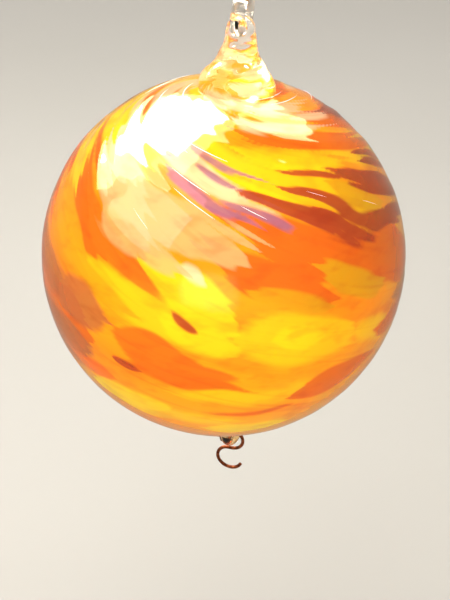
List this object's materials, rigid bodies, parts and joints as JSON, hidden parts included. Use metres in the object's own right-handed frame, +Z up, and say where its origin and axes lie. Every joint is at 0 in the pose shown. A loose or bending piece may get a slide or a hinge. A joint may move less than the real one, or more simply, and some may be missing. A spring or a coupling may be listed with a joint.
{
  "type": "hanging glass float ball",
  "caption": "Hand-blown glass float ball swirled in yellow, orange and red-brown, with a clear twisted glass hanging loop on top and a clear glass eye with a wire S-hook below.",
  "frame": {"origin": "the point on the inside of the top loop that the carrying hook bears on", "axes": "+Z up along the line the ball hangs on, through the top loop; the ball's front faces -Y; +X to the right of the front"},
  "size_m": [0.15, 0.15, 0.2285],
  "materials": {
    "swirled_glass": "fire-polished transparent glass, swirled yellow, orange and red-brown, with a faint iridescence",
    "clear_glass": "fire-polished clear glass with seed bubbles",
    "copper_wire": "copper-plated wire, weathered brown"
  },
  "bodies": {
    "root": {"glass_ball": "swirled_glass", "top_hanger": "clear_glass", "bottom_eye": "clear_glass", "wire_hook": "copper_wire"}
  },
  "joints": []
}
